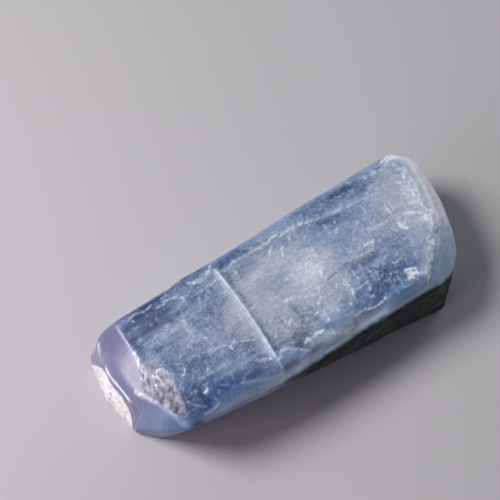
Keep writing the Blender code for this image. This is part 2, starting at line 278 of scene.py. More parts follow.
NICKS = (  # nicks, scratches and plate edges all over the top
    (0.09, 0.3, (-14.2, 4.2), (-13.3, 4.3), (-12.4, 4.15)),
    (0.1, 0.4, (-13.9, 5.25), (-13.2, 5.5), (-12.7, 5.61), (-11.8, 5.3), (-11, 5.5)),
    (0.09, 0.35, (-13.35, -4.28), (-13.06, -4.92), (-12.68, -5.45), (-12.27, -5.74)),
    (0.12, 0.6, (-13.25, 5.1), (-13.2, 5.05)),
    (0.1, 0.3, (-12.9, 2.3), (-12.2, 2.6), (-11.6, 2.4), (-11, 2.6)),
    (0.1, 0.4, (-12.61, -6.11), (-12.1, -6.2), (-11.61, -6.18), (-11.14, -6.08)),
    (0.15, 0.4, (-12.6, -3.94), (-12.3, -4)),
    (0.09, 0.55, (-12.5, -2), (-12.2, -2.1), (-12, -1.85), (-11.9, -1.6)),
    (0.12, 0.3, (-11.8, -3.6), (-11.4, -3.2), (-10.4, -3.3), (-9.8, -3.4), (-8.6, -3.3)),
    (0.19, 0.95, (-11.55, -4.55), (-11.3, -4.4)),
    (0.12, 0.28, (-11.2, -1.2), (-10.4, -1), (-9.4, -1.3), (-8.6, -1.5)),
    (0.1, 0.45, (-10.8, 5), (-9.9, 4.95), (-9.6, 5.25)), (0.09, 0.4, (-10.65, -5.35), (-10.5, -5.1)),
    (0.13, 0.6, (-10.4, 0.05), (-10.3, 0.05)), (0.1, 0.6, (-10.35, -2.95), (-10, -2.7)),
    (0.13, 0.55, (-9.8, 5.2), (-9.3, 5.05), (-8.8, 5), (-8.4, 4.8), (-8.1, 4.4), (-8.3, 4.1)),
    (0.1, 0.6, (-9.79, 5.57), (-9.33, 5.75)), (0.14, 0.32, (-9.4, 2.5), (-9.4, 1.8), (-9.45, 1.1)),
    (0.12, 0.5, (-9.4, 2.22), (-9.56, 1.47)), (0.1, 0.3, (-9.3, -6.43), (-8.98, -6.5)),
    (0.13, 0.65, (-8.7, -0.1), (-8.6, -0.15)),
    (0.08, 0.5, (-8.6, -1.5), (-7.8, -1.65), (-7.2, -2), (-6.5, -2.15), (-5.9, -2.4), (-5.4, -2.6),
     (-4.97, -2.86)),
    (0.09, 0.3, (-7.35, 2.6), (-7.2, 3)), (0.12, 0.9, (-7.31, -2.07), (-7.22, -2.35)),
    (0.09, 0.3, (-7.2, 3.1), (-7, 3.5), (-6.7, 3.9)),
    (0.13, 0.6, (-6.85, 5.49), (-6.08, 5.31), (-5.5, 5.2), (-4.7, 5.39)),
    (0.09, 0.5, (-6.8, -2.1), (-6.6, -1.6)), (0.11, 0.85, (-5.95, -4.6), (-5.6, -4.9)),
    (0.09, 0.35, (-5.73, -3.06), (-5.64, -3.88)), (0.1, 0.35, (-5.6, 4.3), (-6.2, 4.1), (-6.4, 4.05)),
    (0.09, 0.35, (-5.44, -3.88), (-5.08, -3.37)), (0.12, 0.95, (-5.1, -5.1), (-4.85, -5.2), (-4.65, -5.35)),
    (0.1, 0.35, (-4.96, -6.04), (-4.8, -5.5)), (0.12, 0.55, (-4.86, 2.95), (-4.2, 2.84)),
    (0.1, 0.6, (-4.55, -5.6), (-4.08, -5.57)), (0.1, 0.45, (-4.4, 4.5), (-4.8, 4.25), (-5.3, 4.15)),
    # The next line is partly a painted highlight, on the chipped corner by the split.
    (0.13, 0.7, (-4.12, 6.08), (-4.58, 5.53), (-5, 5.3), (-5.4, 5.05), (-5.9, 5), (-6.2, 5.1), (-6.6, 5.3),
     (-7, 5.35)),
    (0.12, 0.7, (-4.1, 2.95), (-4.5, 2.82), (-4.9, 2.9)),
    (0.12, 0.45, (-3.99, -5.21), (-3.64, -5.02), (-3.26, -5.06), (-2.73, -5.44), (-2.13, -5.93),
     (-1.51, -6.4)),
    (0.1, 0.4, (-3.7, -2.24), (-3.6, -2.64)), (0.09, 0.35, (-3.5, 4.68), (-2.9, 4.83), (-2.3, 5.12)),
    (0.1, 0.4, (-3.5, 0.06), (-3.3, 0.01)), (0.1, 0.5, (-2.9, -2), (-2.5, -1.95)),
    (0.12, 0.6, (-2.75, 3.87), (-2.6, 4.07)), (0.12, 0.6, (-2.4, 5.12), (-1.6, 5.12)),
    (0.1, 0.35, (-2.4, -4.96), (-1.9, -5.11)), (0.1, 0.6, (-1.75, 0.05), (-1.5, -0.05)),
    (0.1, 0.65, (-1.75, -2.86), (-1.65, -2.46), (-1.7, -2.26)),
    (0.1, 0.6, (-1.65, -3.16), (-1.3, -3.01), (-1.1, -2.96)),
    (0.1, 0.3, (-1.6, 5.12), (-0.4, 5.01), (0.5, 4.95)),
    (0.12, 0.2, (-1.51, -6.4), (-1.11, -6.16), (-0.84, -5.93)),
    (0.18, 0.9, (-1.36, -5.62), (-0.92, -5.57), (-0.35, -5.43), (0.14, -5.43), (0.57, -5.5)),
    (0.1, 0.45, (-1.3, -2.15), (-1.09, -2.05)), (0.13, 0.6, (-1.26, -5.57), (-0.56, -5.53), (0.4, -5.43)),
    (0.09, 0.5, (-1.2, -3.46), (-1.05, -3.67)), (0.1, 0.7, (-1.1, -5.37), (-0.9, -5.22)),
    (0.09, 0.35, (-0.8, 5.86), (-0.3, 5.66), (0.2, 5.35)),
    (0.1, 1, (-0.53, -1.18), (-0.18, -1.12), (0.12, -1.28), (0.37, -1.38)),
    (0.12, 0.5, (0.4, -5.43), (0.82, -5.79), (1.37, -6.27)),
    (0.12, 0.6, (0.5, 4.95), (1.09, 5), (1.69, 4.99), (2.09, 5.19), (2.79, 5.18)),
    (0.1, 0.75, (0.52, -1.43), (1.18, -1.43)),
    (0.12, 0.3, (0.57, -5.5), (0.93, -5.88), (1.57, -6.32), (2.15, -6.64), (2.81, -6.84)),
    (0.11, 0.6, (0.74, 0.64), (0.94, 0.88)), (0.1, 0.35, (0.99, 5.75), (1.19, 5.45), (1.24, 5.04)),
    (0.1, 0.5, (0.99, -3.68), (1.39, -3.68)), (0.14, 0.7, (1.09, 3.89), (1.29, 4.09), (1.49, 4.24)),
    (0.13, 0.6, (1.44, 0.83), (1.59, 0.93)), (0.09, 0.5, (1.62, -1.74), (2.02, -1.99), (2.32, -2.15)),
    (0.11, 0.6, (1.69, 0.13), (1.84, 0.23)), (0.14, 0.7, (1.74, -3.89), (1.74, -4.39), (1.69, -4.89)),
    (0.12, 0.8, (1.85, -2.97), (2.11, -2.81), (2.51, -2.51)), (0.12, 0.8, (1.99, -0.63), (2.09, -0.28)),
    (0.12, 0.8, (2.09, 2.98), (2.14, 3.33), (2.24, 3.58), (2.49, 3.73)),
    (0.1, 0.5, (2.2, -6.62), (2.79, -6.58), (3.29, -6.57)), (0.11, 0.6, (2.39, 0.97), (2.69, 1.12)),
    (0.11, 0.85, (2.62, -2.04), (2.73, -1.74), (2.89, -1.64)),
    (0.14, 0.5, (2.69, 1.02), (3.09, 0.62), (3.59, 0.41), (4.08, 0.26)),
    (0.12, 0.6, (2.99, -4.6), (3.04, -4.4)),
    (0.1, 0.65, (3.09, 4.88), (3.49, 4.98), (4.09, 4.97), (4.98, 4.91), (5.48, 4.81), (6.08, 4.6),
     (6.68, 4.45), (7.27, 4.37)),
    (0.11, 0.6, (3.19, 2.87), (3.39, 3.12), (3.69, 3.02)), (0.13, 0.8, (3.29, 0.97), (3.44, 1.12)),
    (0.09, 0.4, (3.29, -5.4), (3.88, -5.5)), (0.12, 0.7, (3.31, -2.71), (3.51, -2.76)),
    (0.11, 0.55, (3.54, 4.07), (3.64, 4.42)), (0.1, 0.5, (3.6, -3.78), (3.85, -3.58)),
    (0.16, 0.95, (3.88, -0.64), (4.03, -0.34)), (0.09, 0.6, (4.1, -5.93), (4.58, -5.86), (5.2, -5.89)),
    (0.1, 0.4, (4.13, 4.12), (4.33, 4.42)), (0.12, 0.7, (4.29, -4.5), (4.33, -4.75)),
    (0.11, 0.6, (4.37, -2.45), (4.53, -2.09)), (0.1, 0.8, (4.58, 1.26), (4.58, 1.56), (4.68, 1.91)),
    (0.13, 0.7, (4.6, 1.94), (4.6, 1.29)), (0.1, 0.45, (4.68, 3.26), (4.88, 3.51)),
    (0.14, 0.6, (5.08, -4.01), (5.23, -3.71), (5.33, -3.51)), (0.1, 0.6, (5.18, -2.81), (5.33, -3.11)),
    (0.1, 0.85, (5.22, -5.96), (5.78, -6.11), (6.21, -6.18), (6.79, -6.1), (7.37, -6.03), (7.69, -6.16)),
    (0.1, 0.45, (5.58, -3.86), (6.37, -3.82), (6.97, -3.72)), (0.1, 0.6, (6.18, -5.22), (6.47, -5.22)),
    (0.12, 0.6, (6.62, -4.52), (6.72, -4.32)), (0.1, 0.4, (7.09, 3.49), (6.97, 1.85)),
    (0.1, 0.4, (7.27, -1.42), (7.27, -2.22)),
    (0.1, 0.45, (7.33, -1.01), (8, -1.12), (8.78, -1.25), (9.35, -1.27)),
    (0.2, 0.4, (7.35, -0.28), (7.6, -0.3)), (0.09, 0.5, (7.47, 1.99), (7.67, 2.29), (7.97, 2.48)),
    (0.11, 0.5, (7.67, 4.39), (8.37, 4.33), (8.77, 4.08), (9.46, 3.98)),
    (0.1, 0.45, (7.87, -3.23), (8.07, -3.43)), (0.1, 0.5, (7.9, 2.51), (7.5, 2.1)),
    (0.11, 0.5, (8.07, 3.08), (8.12, 3.18)), (0.1, 0.45, (8.34, -0.42), (8.9, -0.5)),
    (0.1, 0.35, (8.57, 0.58), (9.46, 0.57)), (0.11, 0.5, (8.62, -6.28), (8.61, -5.94)),
    (0.09, 0.4, (8.66, -5.53), (8.66, -4.63)), (0.1, 0.4, (8.88, 6.16), (9.09, 6.17)),
    (0.13, 0.8, (8.9, -0.5), (9.5, -0.59), (9.93, -0.56)),
    (0.1, 0.35, (9.21, 5.33), (9.71, 5.23), (10.72, 5.34)),
    (0.12, 0.65, (9.26, -0.53), (9.56, -0.63), (9.96, -0.59)),
    (0.1, 0.5, (9.27, -6.09), (9.7, -6.2), (10.5, -6.2)), (0.11, 0.5, (9.56, 0.67), (9.86, 1.12)),
    (0.15, 0.55, (9.76, 1.92), (9.86, 1.97)), (0.1, 0.35, (9.77, 1.06), (9.31, 0.59)),
    (0.1, 0.55, (9.86, 3.82), (10.46, 3.82), (11.15, 3.78)), (0.12, 0.65, (10.16, 0.41), (10.36, 0.76)),
    (0.11, 0.5, (10.16, -3.64), (10.65, -3.6)),
    (0.12, 0.55, (10.24, 0.74), (10.7, 0.45), (11.4, 0.45), (12.2, 0.42)),
    (0.15, 1, (10.26, -5.75), (10.85, -5.55), (11.25, -5.6)),
    (0.17, 1, (10.36, -4.95), (10.5, -5.25), (10.4, -5.55)),
    (0.13, 0.95, (10.36, -4.95), (10.95, -5.05), (11.25, -5.1)),
    (0.12, 0.6, (10.56, 0.46), (10.95, 0.31), (11.55, 0.35), (12.25, 0.35)),
    (0.09, 0.4, (10.75, 0.46), (11.15, 0.86)), (0.12, 0.6, (10.75, -5.95), (10.85, -6.2)),
    (0.09, 0.3, (11.15, 3.78), (12.25, 3.65), (13.24, 3.55)), (0.12, 0.5, (11.15, 2.46), (11.3, 2.66)),
    (0.1, 0.4, (11.21, 5.24), (11.82, 5.24)), (0.12, 0.45, (11.25, 1.71), (11.4, 1.76)),
    (0.12, 0.5, (11.59, -6.43), (11.87, -6.65)), (0.14, 0.6, (11.66, -6.04), (12.11, -6.2), (12.51, -6.41)),
    (0.13, 0.5, (11.84, 6.22), (12.02, 6.13)), (0.1, 0.4, (12.15, -4.06), (12.15, -3.56)),
    (0.12, 0.5, (12.36, 3.97), (12.67, 4.07)), (0.12, 0.6, (12.45, -5.95), (12.49, -5.86)),
    (0.11, 0.4, (12.54, -2.86), (12.64, -3.06)), (0.12, 0.7, (12.89, 1.45), (12.94, 1.04)),
    (0.11, 0.4, (12.94, -2.76), (12.99, -3.06)), (0.1, 0.45, (12.98, 4.39), (13.59, 4.5)),
    (0.2, 0.85, (12.99, -0.66), (13.04, -0.96), (13.24, -1.06)),
    (0.11, 0.5, (13.09, 5.99), (13.47, 5.91), (13.39, 5.46)), (0.13, 0.6, (13.25, -5.26), (13.29, -5.16)),
    (0.12, 0.7, (13.34, -0.86), (13.54, -0.66)), (0.12, 0.6, (13.56, 3.81), (13.71, 3.92)),
    (0.12, 0.5, (13.64, -4.77), (13.83, -4.57)), (0.13, 0.6, (13.93, -0.56), (13.98, -0.62)),
    (0.11, 0.5, (14.13, -3.57), (14.33, -3.27), (14.63, -3.17)), (0.14, 0.8, (14.24, 5.51), (14.57, 5.6)),
    (0.2, 1, (14.33, 0.03), (14.53, -0.17), (14.83, -0.27)),
    (0.13, 0.7, (14.34, -4.16), (14.53, -3.77), (14.86, -3.64)), (0.12, 0.55, (15.1, 5.46), (15.35, 5.41)),
    (0.14, 0.8, (15.47, 0.52), (15.52, 0.42)), (0.15, 1, (15.52, -1.28), (15.57, -1.78), (15.47, -2.18)),
    (0.1, 0.4, (15.56, -3.56), (15.75, -3.27)), (0.15, 0.8, (16, -0.9), (15.6, -1.4)),
    (0.15, 0.95, (16.02, -1.18), (15.92, -1.68), (15.62, -2.08)), (0.22, 1, (16.3, -0.9), (15.9, -1.5)),
    (0.13, 0.6, (16.4, -0.65), (16.45, -0.55)), (0.18, 1, (16.45, -1.15), (15.8, -1.75), (15.55, -2)),
    (0.25, 0.55, (16.5, 1), (16.3, 0.3)), (0.12, 0.8, (16.82, -2.83), (17.03, -2.52)),
    (0.3, 0.5, (16.97, 2.45), (16.7, 1.7)),
)
CROWDED = (  # ovals in which the flecks are thicker: middle, half length, half width and weight
    (9, -3.5, 6, 3.5, 1.0), (3.2, 0.4, 4.5, 3.2, 0.9), (13, 0, 5, 5, 0.6), (-1, -3.5, 3.5, 2.5, 0.7),
    (9, 5.2, 7, 1.6, 0.55),
)
FLECKS = 1300

# Where the top is, and the clouds that make everything on it uneven.
top = ramp(facing[:, 2], 0.4, 0.8) * ramp(z, 6.0, 6.8)
near_top = ramp(z, 6.0, 7.0)
growth_lines = cloud((9.0, 0.42, 0.42), 3.1, 4)
unevenness = cloud((3.4, 1.8, 1.8), 11.7, 3)
grit = cloud((0.34, 0.34, 0.34), 5.3, 3)
crumble = cloud((0.75, 0.62, 0.62), 21.9, 2)
sparkle = cloud((0.24, 0.24, 0.24), 41.3, 2)
gritty = ramp(grit, -0.4, 0.4)
broken = 0.3 + 0.9 * ramp(0.5 * grit + 0.7 * sparkle, -0.3, 0.25)  # breaks the marks up

# The brown patch on the growth end, and the nicks.
inner, outer = follow(y, PATCH_INNER), follow(y, PATCH_OUTER)
brown = ramp(inner - x, -0.15, 0.25) * ramp(x - outer, -0.1, 0.2) * ramp(y, -5.3, -4.8)
brown = brown * fall(y, 1.0, 1.6) * ramp(z, 4.8, 5.6)
curls = scored([(CURL_SIZE * width, *rest) for width, *rest in CURLS])
dark_spots = scored(DARK_SPOTS)
nicks = scored(NICKS) * broken

# The split: a painted highlight on its bright wall, and a painted glow in the stone before it. Both stop at
# the edges of the top.
seam = x - follow(y, SPLIT_LINE)
open_end = fall(y, 5.2, 5.6) * ramp(y, -5.6, -5.0) * top
split_highlight = ramp(seam, -0.5, -0.25) * fall(seam, 0.12, 0.3) * (0.46 + 0.5 * ramp(seam, -0.12, 0.08)) * open_end
split_highlight = split_highlight * (0.75 + 0.35 * ramp(grit + sparkle, -0.4, 0.3))
split_glow = ramp(seam, -1.3, -0.3) * fall(seam, -0.1, 0.1) * open_end

# The worn rim, and the frost just inside it.
rim = scored(((0.42, 1.0, *RIM),)) * near_top
frosting = scored(((0.8, 1.0, *((u - 0.45, v - 0.1) for u, v in RIM)),)) * near_top
frosting = frosting * ramp(0.5 * crumble + 0.8 * grit, 0.12, 0.3)

# Small flecks strewn by chance, most of them across the grain.
rng = np.random.default_rng(7)
flecks = []
while len(flecks) < FLECKS:
    u, v = rng.uniform(-14, 17), rng.uniform(-6.6, 6.2)
    crowd = 0.16 + sum(w * max(0, 1 - math.hypot((u - a) / l, (v - b) / m)) for a, b, l, m, w in CROWDED)
    spin, length, width = rng.uniform(-1, 1), abs(rng.normal(0.0, 0.2)), rng.uniform(0.05, 0.1)
    shine, luck = rng.uniform(0.08, 0.5), rng.uniform()
    if luck < crowd * 0.8:
        way = math.radians(90 - 35 * spin) if luck < crowd * 0.5 else math.pi * spin
        du, dv = 0.5 * length * math.cos(way), 0.5 * length * math.sin(way)
        flecks.append((width, shine * (0.6 + 0.6 * min(crowd, 1)), (u - du, v - dv), (u + du, v + dv)))
flecks = scored(flecks) * top * (0.5 + 0.6 * gritty)

# The lip over the crust, and the groove between the two. The lip is a real ridge with a painted highlight on
# its edge; the groove is a real groove with painted shade in it.
lip = scored((LIP,), (1, 2)) * ramp(-x, 16, 16.6)
groove = ramp(z - crust_top, 0.0, 0.2) * fall(z - follow(y, LIP_LINE), -0.25, 0.0) * ramp(-x, 16, 16.6)
groove = groove * ramp(y, -0.9, -0.3) * fall(y, 5.2, 6.0)

# The relief, outwards: the growth lines, the brown patch, the crust, the marks, the rim and the lip.
relief = (0.02 * growth_lines + 0.03 * unevenness) * (1 - 0.7 * ramp(-y, 4.9, 5.9))
relief += brown * (0.1 * np.abs(crumble) + 0.06 * grit - 0.1 + 0.07 * curls)
relief += foot * (0.09 * crumble + 0.05 * grit)
relief += 0.03 * nicks * top + 0.012 * flecks
relief += rim * (0.05 * grit + 0.05 * crumble)
relief += 0.07 * lip - 0.07 * groove
at += facing * relief[:, None]
at[:, 2] = np.maximum(at[:, 2], 0)
skin.vertices.foreach_set("co", ((at + AXIS) * MM).astype(np.float32).ravel())
skin.shade_smooth()
skin.update()
at, facing = places()
x, y, z = at.T


def keep(name, mask):
    """Keeps a mask on the skin for the material to read."""
    held = skin.attributes.new(name, "FLOAT", "POINT")
    held.data.foreach_set("value", np.clip(mask, 0, 1).astype(np.float32))


# The stone's colour, over the skin. An oval has its middle, half length, half width, strength and, where
# it is turned, its degrees. Tone goes from 0, deep blue, to 1, milky. Richness is how blue the blue is.
MILKIER = (
    (-13.8, 3.9, 0.7, 0.8, 0.07), (-12.8, -3.6, 0.9, 1, 0.08), (-11.2, 5.1, 1.6, 0.7, 0.06),
    (-11, 2.3, 2.4, 0.8, 0.12), (-10.5, 4.1, 1.8, 1, 0.14), (-10, 1.2, 1.8, 1.4, 0.1),
    (-9.4, 1.6, 0.6, 1.8, 0.08), (-9.3, -6.3, 4.4, 1, 0.16), (-9, -6, 3.4, 1, 0.09),
    (-9, 4.3, 1, 0.8, 0.06), (-8.5, 0.2, 2, 1.5, 0.05), (-8.3, 5.1, 1, 0.6, 0.05),
    (-8, -4.9, 1.6, 1.2, 0.08), (-8, -4.8, 1.6, 1.2, 0.07), (-8, -1.2, 1.6, 1.4, 0.12),
    (-5.4, -0.3, 1.7, 3.4, 0.22), (-4, -7, 2.4, 0.6, 0.12), (-2.3, 0, 2.6, 4.6, 0.155),
    (-2.2, -6.6, 0.9, 0.5, 0.22), (-1.8, 2.4, 2.6, 0.9, 0.1), (-1.5, -6.3, 1, 0.6, 0.2),
    (-0.1, 2, 0.9, 0.8, 0.06), (0.2, -6.2, 1.4, 0.8, 0.14), (0.4, 3, 2.6, 1.2, 0.07),
    (0.5, -1.2, 3, 1.8, 0.12), (1, -6.4, 2.6, 0.6, 0.26, -13), (1, -6.2, 2.4, 1, 0.15),
    (1, 3.1, 3.2, 1.5, 0.17), (1.8, -1.4, 1.6, 1.2, 0.06), (2.3, -4.1, 1.5, 1.4, 0.16),
    (3, 0.6, 3.8, 2.7, 0.3), (3.3, 0.3, 1.4, 1, 0.1), (3.5, 5.6, 3.6, 1, 0.13), (3.7, -6, 1.2, 0.7, 0.1),
    (3.8, -2.4, 3.6, 2.2, 0.15), (4, 5.4, 3, 1, 0.08), (4.3, 3.5, 1.2, 0.9, 0.1), (4.6, -6.6, 3, 0.5, 0.1),
    (6.2, -4.4, 1.8, 1.6, 0.1), (6.6, -0.7, 2, 0.5, 0.06), (8, -6.3, 6.5, 0.9, 0.13), (8, 1, 6, 4, 0.06),
    (8, 5.6, 2.4, 0.8, 0.08), (9.5, -0.8, 3.6, 2.2, 0.06), (10, -5.6, 3, 1.4, 0.08),
    (11.2, 1.2, 2.5, 2, 0.06), (12.3, -6.2, 1.2, 0.8, 0.12), (12.6, -6, 1.1, 1.1, 0.25),
    # (14.2, -5.3) is painted light on the worn end's front corner, a face turned away from the soft lamp.
    (12.6, 3.3, 2, 1.2, 0.1), (13.5, -2, 2, 2.6, 0.12), (14.2, -5.3, 2.2, 1.8, 0.3),
    (14.7, 1, 2.8, 4.6, 0.28), (15, -5, 1.2, 1.2, 0.1), (15.9, -3, 1.2, 1.8, 0.14),
    (16.2, -3.4, 1.4, 1.6, 0.12), (16.2, -2.8, 1.4, 2.4, 0.12), (16.2, 0, 1.4, 7, 0.12),
)
DEEPER = (
    # (-13.9, -4.9) and (-13.4, -4.4) are painted shade on the growth end's front corner, which slopes
    # towards the soft lamp.
    (-14.4, 3.4, 0.7, 2.6, 0.34), (-13.9, -4.9, 1.2, 2.2, 0.22), (-13.4, -4.4, 1.1, 2.6, 0.34),
    (-13.3, 3.1, 1.2, 1, 0.05), (-13, -0.6, 0.8, 1.4, 0.12), (-12.9, 1.5, 0.7, 0.6, 0.12),
    (-12.3, -4.6, 1, 2, 0.3), (-12.3, -0.6, 0.9, 0.9, 0.08), (-12, -1.6, 1.2, 1.4, 0.08),
    (-11.8, 4.4, 3.6, 1.6, 0.28), (-11.5, 5.5, 3.6, 0.6, 0.25), (-11, -4.2, 1.8, 1.1, 0.12),
    (-11, 3.2, 2.4, 0.9, 0.08), (-10.4, 4.4, 1, 0.7, 0.15), (-10.2, -1.9, 1.6, 1, 0.12, -10),
    (-9.5, 0, 7, 8, 0.12), (-9.3, -5.5, 4, 1.5, 0.3), (-7.6, 4.1, 0.9, 0.6, 0.1), (-7, -6, 3, 0.9, 0.05),
    (-7, -5.2, 2.6, 1.1, 0.15), (-7, 5.4, 3.4, 0.9, 0.08), (-6, -3.3, 1.1, 1.3, 0.1),
    (-6, -2, 1.2, 3, 0.04), (-6, 1.9, 1.6, 1.4, 0.13), (-6, 3.6, 2, 1.4, 0.04),
    (-5.6, -4.8, 1.2, 0.8, 0.08), (-4.2, -6.2, 1, 0.7, 0.06), (-2.4, -4.8, 1.4, 0.8, 0.14),
    (-2.2, -5.5, 0.8, 0.5, 0.12), (-2.2, 5.7, 3, 0.9, 0.25), (-2.1, 0.2, 0.9, 1, 0.04),
    (-2, -4.8, 1.2, 0.8, 0.08), (-2, -2.4, 1, 1, 0.05), (-2, 3.9, 2.2, 1, 0.1),
    (-1.7, -5.9, 1.2, 0.8, 0.15, -40), (-1.6, -3.8, 2.4, 2.4, 0.02), (-1.2, -5.2, 0.8, 0.5, 0.1),
    (-1, -4.6, 1.6, 0.7, 0.12, -30), (-0.3, -2.1, 0.8, 0.6, 0.1), (0, -6, 4, 1.2, 0.18),
    (5.2, -5.6, 3, 0.9, 0.1), (6.3, -2.4, 1.5, 0.5, 0.12), (7, 4, 1.5, 0.7, 0.2, -10), (7, 5.7, 8, 1, 0.2),
    (7.9, -1.9, 1.9, 0.5, 0.2), (8.2, -4.7, 4.8, 2.1, 0.29), (8.6, 3.3, 2.4, 1, 0.12, -10),
    (8.8, 4.8, 2.5, 0.5, 0.12), (9.5, -6.6, 3, 0.9, 0.1), (10.6, 5.7, 2.5, 0.7, 0.2),
    (10.8, -2, 3.5, 1.7, 0.1), (12.5, 4.8, 1.8, 0.8, 0.12), (14.2, 0.6, 1.8, 3.4, 0.08),
)
BLUER = (
    (-10.5, -4.6, 3.6, 2.6, 0.15), (-7.5, -5.8, 4, 1.1, 0.17), (10, -6, 5, 1, 0.3),
)
GREYER = (
    (-10, 0.5, 5, 6, 0.2), (-6.5, -5.2, 3, 1.4, 0.2), (-5.4, -0.3, 1.9, 4, 0.2), (-4.5, 0, 4, 7, 0.16),
    (-2.3, 0.2, 2.8, 5, 0.28), (-1.6, -3.8, 2.4, 2.4, 0.2), (-1.4, -5, 2.4, 1.6, 0.3),
    (0, -2.2, 2, 2.2, 0.26), (1, 5, 8, 1.2, 0.16), (1.5, 3.5, 4.5, 1.6, 0.2), (3.2, 0.6, 4, 3.4, 0.22),
    (3.6, -2.6, 3.4, 2.2, 0.25), (7.2, 4, 1.6, 0.8, 0.12), (8, -1.6, 1.6, 0.7, 0.2), (9.5, -1, 4, 1.6, 0.1),
    (12, -1.2, 1.8, 1.6, 0.1), (14.8, 1, 3, 5, 0.25),
)
VIOLET = (-5.3, -2.0, 1.4, 3.6, 1.0), (-12.0, 4.3, 3.4, 1.8, 0.9), (-6.6, 6.2, 3.4, 0.8, 1.5)
STILL = (-11.6, 4.4, 3.4, 1.6, 1.0), (-10.0, -4.9, 4.0, 2.4, 1.0)  # less mottled than the rest
CLEAR = (-12.6, -4.4, 2.2, 2.6, 1.0), (-12.0, 4.3, 4.5, 2.4, 1.0)  # without wisps
DARK_MARKS = (  # lines, with a half width, a strength and points
    (0.16, 0.9, (15.8, -2.95), (15.5, -3.2)),
    (0.13, 0.35, (3.9, -1.5), (4.7, -1.34), (5.6, -1.15), (6.6, -1.12)),
    (0.16, 0.35, (-0.47, -1.75), (-0.3, -2.8), (-0.45, -3.8)),
    (0.14, 0.35, (-3.1, -1.95), (-2.3, -2), (-1.6, -2.25)),
    (0.45, 0.2, (6.1, -1.65), (7.2, -1.6), (8.4, -1.75), (9.2, -1.75)),
)
BEVEL_LINE = (  # y, and the height of the end's bevel edge
    (-6, 7.3), (-4.84, 7.1), (-2.9, 6.7), (-1, 6.2), (0.1, 5.4), (3.2, 5.35), (5.7, 4.8),
)
BROW_LINE = (  # x, and the height of the top's front edge
    (-9, 6.5), (-7, 6.9), (-4.8, 6.86), (2.5, 6.9), (3.4, 7.02), (4.6, 6.98), (6, 6.9), (11.5, 6.88),
    (12.5, 6.8), (14, 6.3), (15.1, 5.8), (16, 5.6),
)

end = ramp(-x, 14.55, 14.95)  # the growth end
bevel = end * ramp(z - follow(y, BEVEL_LINE), -0.35, 0.45)
end_tone = (
    0.385
    + 0.31 * bevel
    + 0.1 * bevel * fall(np.abs(y - 0.8), 0.8, 4.0)
    - 0.36 * bevel * ramp(y, 1.8, 5.0)
    + 0.05 * end * crumble
    - 0.14 * ramp(-y, 3.6, 5.2)
    + 0.16 * ramp(-x, 16.5, 16.9) * ramp(y, 4.4, 5.2)
)
upper_back = ramp(y, 5.55, 5.9) * fall(x, -5, -3.5) * ramp(z, 6.2, 7.2)
flank = fall(np.abs(facing[:, 2]), 0.3, 0.75) * (1 - end)  # long growth lines on the back and the sides
past_rim = x - follow(y, sorted((v, u) for u, v in RIM))
turned = ramp(past_rim, -0.3, 0.4)  # the worn end, from the rim down
brow = follow(x, BROW_LINE)
front_edge = np.exp(-(((z - brow - 0.03) / 0.09) ** 2)) * ramp(-y, 5.6, 6.4) * ramp(x, -9, -5)

tone = 0.5 + patches(MILKIER) - patches(DEEPER)
tone = tone * (1 - end) + end * end_tone
tone -= 0.13 * ramp(seam, 0.2, 0.4) * fall(seam, 0.5, 1.1) * open_end  # the shaded foot of the split
tone -= 0.15 * upper_back * (1 - end)
tone += flank * (0.16 * growth_lines + 0.08 * unevenness)
tone = tone * (1 - turned) + turned * (0.5 + 0.16 * ramp(y, -5.0, -1.5) + 0.06 * unevenness)
tone -= 0.55 * scored(DARK_MARKS)
violet_end = ramp(-x, 13.7, 15.0) * (1 - 0.85 * ramp(-y, 0.8, 4.0))
keep("tone", tone)
keep("violet", np.maximum.reduce((0.4 * patches(VIOLET), violet_end, 0.6 * upper_back)))
keep("teal", np.maximum(ramp(-y, 5.2, 6.2) * ramp(x, -2, 0) * fall(x, 1.5, 4.5), 0.6 * front_edge))
keep("wisps", fall(x, -6.5, -3.5) * (1 - end) * (1 - patches(CLEAR)))
keep("calm", np.maximum.reduce((ramp(-y, 4.9, 5.9), end, 0.95 * flank, 0.6 * patches(STILL))))
# Where the worn end is paler, and painted light for the glow through the stone, lighter higher up.
keep("far_end_glow", ramp(past_rim, 0.1, 1.3) * (0.9 + 0.3 * crumble) * (0.25 + 0.75 * ramp(z, 3.8, 5.6)))
keep("lilac", ramp(y + 1.2 * crumble, -5.2, -1.0))
keep("fibre", fall(x, -8.5, -5.0) * (1 - end) * ramp(y, 0.5, 3.0))
keep("richness", 0.62 + patches(BLUER) - patches(GREYER))

# The frost: everything white on the skin, from the split's bright wall to the single nicks. The split's wall
# and glow and the lip are painted highlights; the rest is real frost, wear and nicks.
VEILS = (  # along the edges of plates and chips
    (0.18, 0.7, (-5.91, -4.59), (-5.44, -4.92)), (0.18, 0.7, (-5.05, -5), (-4.55, -5.34)),
    (0.1, 0.35, (-4.45, -5.4), (-4.55, -6.1), (-4.6, -6.8)),
    (0.26, 0.35, (-3.99, -5.28), (-3.3, -5.18), (-2.7, -5.55)),
    (0.24, 0.7, (-1.3, -5.5), (-0.7, -5.45), (0.1, -5.4)),
    (0.14, 0.85, (-0.5, -1.1), (-0.2, -1.15), (0.2, -1.12), (0.5, -1.2)),
    (0.22, 0.4, (0.1, -5.45), (0.8, -5.7), (1.6, -6.3), (2.6, -6.75)),
    (0.1, 0.5, (0.2, 5), (1.6, 4.98), (2.4, 5.17), (3.2, 5.16), (4.5, 5.12), (5.9, 4.86)),
    (0.1, 0.5, (0.75, -1.45), (1.5, -1.78)), (0.1, 0.55, (1.95, -2), (2.5, -2.3)),
    (0.1, 0.35, (5.9, 4.86), (7.5, 4.24), (8.9, 3.93), (10.3, 3.75)),
    (0.3, 0.45, (11.9, -6.4), (12.6, -6.5), (13.3, -6.1)),
)
